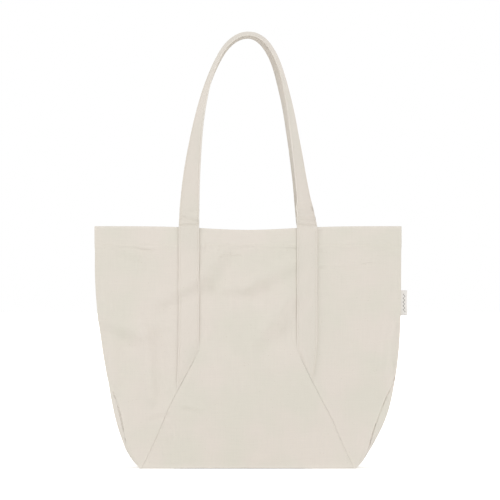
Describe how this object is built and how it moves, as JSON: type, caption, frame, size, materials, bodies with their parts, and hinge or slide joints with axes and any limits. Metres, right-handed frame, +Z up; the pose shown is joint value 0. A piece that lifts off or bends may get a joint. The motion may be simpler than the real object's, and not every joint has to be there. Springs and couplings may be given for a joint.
{
  "type": "shopping bag",
  "caption": "Canvas shopping bag with a flared panelled body on a flat base, two long strap handles and a side seam label.",
  "frame": {"origin": "middle of the base, on the plane it stands on, in the body's own middle planes; the seam label reaches 8.6 mm further out at +X and doesn't count", "axes": "+Z up out of the mouth, +X to the right as seen from the front, -Y out of the front face"},
  "size_m": [0.4586, 0.1334, 0.639],
  "materials": {
    "natural_canvas": "plain woven natural canvas, matt",
    "strap_canvas": "folded and stitched natural canvas, matt",
    "binding_tape": "cotton tape, matt",
    "cotton_thread": "cotton thread",
    "woven_ribbon": "woven ribbon, bare"
  },
  "bodies": {
    "bag": {"back_centre_hem_stitching": "cotton_thread", "back_centre_panel": "natural_canvas", "back_hem_facing": "natural_canvas", "back_left_hem_stitching": "cotton_thread", "back_left_panel": "natural_canvas", "back_left_seam_binding": "binding_tape", "back_left_slant_stitching": "cotton_thread", "back_left_strap_stitching": "cotton_thread", "back_left_strap_tail": "strap_canvas", "back_right_hem_stitching": "cotton_thread", "back_right_panel": "natural_canvas", "back_right_seam_binding": "binding_tape", "back_right_slant_stitching": "cotton_thread", "back_right_strap_stitching": "cotton_thread", "back_right_strap_tail": "strap_canvas", "base_panel": "natural_canvas", "base_seam_binding": "binding_tape", "front_centre_hem_stitching": "cotton_thread", "front_centre_panel": "natural_canvas", "front_hem_facing": "natural_canvas", "front_left_hem_stitching": "cotton_thread", "front_left_panel": "natural_canvas", "front_left_seam_binding": "binding_tape", "front_left_slant_stitching": "cotton_thread", "front_left_strap_stitching": "cotton_thread", "front_left_strap_tail": "strap_canvas", "front_right_hem_stitching": "cotton_thread", "front_right_panel": "natural_canvas", "front_right_seam_binding": "binding_tape", "front_right_slant_stitching": "cotton_thread", "front_right_strap_stitching": "cotton_thread", "front_right_strap_tail": "strap_canvas", "left_side_seam_binding": "binding_tape", "right_side_seam_binding": "binding_tape"},
    "front_handle": {"front_handle": "strap_canvas", "front_handle_front_under_stitching": "cotton_thread", "front_handle_front_upper_stitching": "cotton_thread", "front_handle_rear_under_stitching": "cotton_thread", "front_handle_rear_upper_stitching": "cotton_thread"},
    "back_handle": {"back_handle": "strap_canvas", "back_handle_front_under_stitching": "cotton_thread", "back_handle_front_upper_stitching": "cotton_thread", "back_handle_rear_under_stitching": "cotton_thread", "back_handle_rear_upper_stitching": "cotton_thread"},
    "label": {"side_label": "woven_ribbon"}
  },
  "joints": [
    {"name": "front_handle_fold", "type": "hinge", "parent": "bag", "child": "front_handle", "pos_m": [0, -0.02778, 0.35211], "axis": [1, 0, 0], "range_deg": [0, 168]},
    {"name": "back_handle_fold", "type": "hinge", "parent": "bag", "child": "back_handle", "pos_m": [0, 0.02778, 0.35211], "axis": [-1, 0, 0], "range_deg": [0, 168]},
    {"name": "label_flap", "type": "hinge", "parent": "bag", "child": "label", "pos_m": [0.22562, 0, 0.2225], "axis": [0, 0, 1], "range_deg": [-75, 75]}
  ]
}
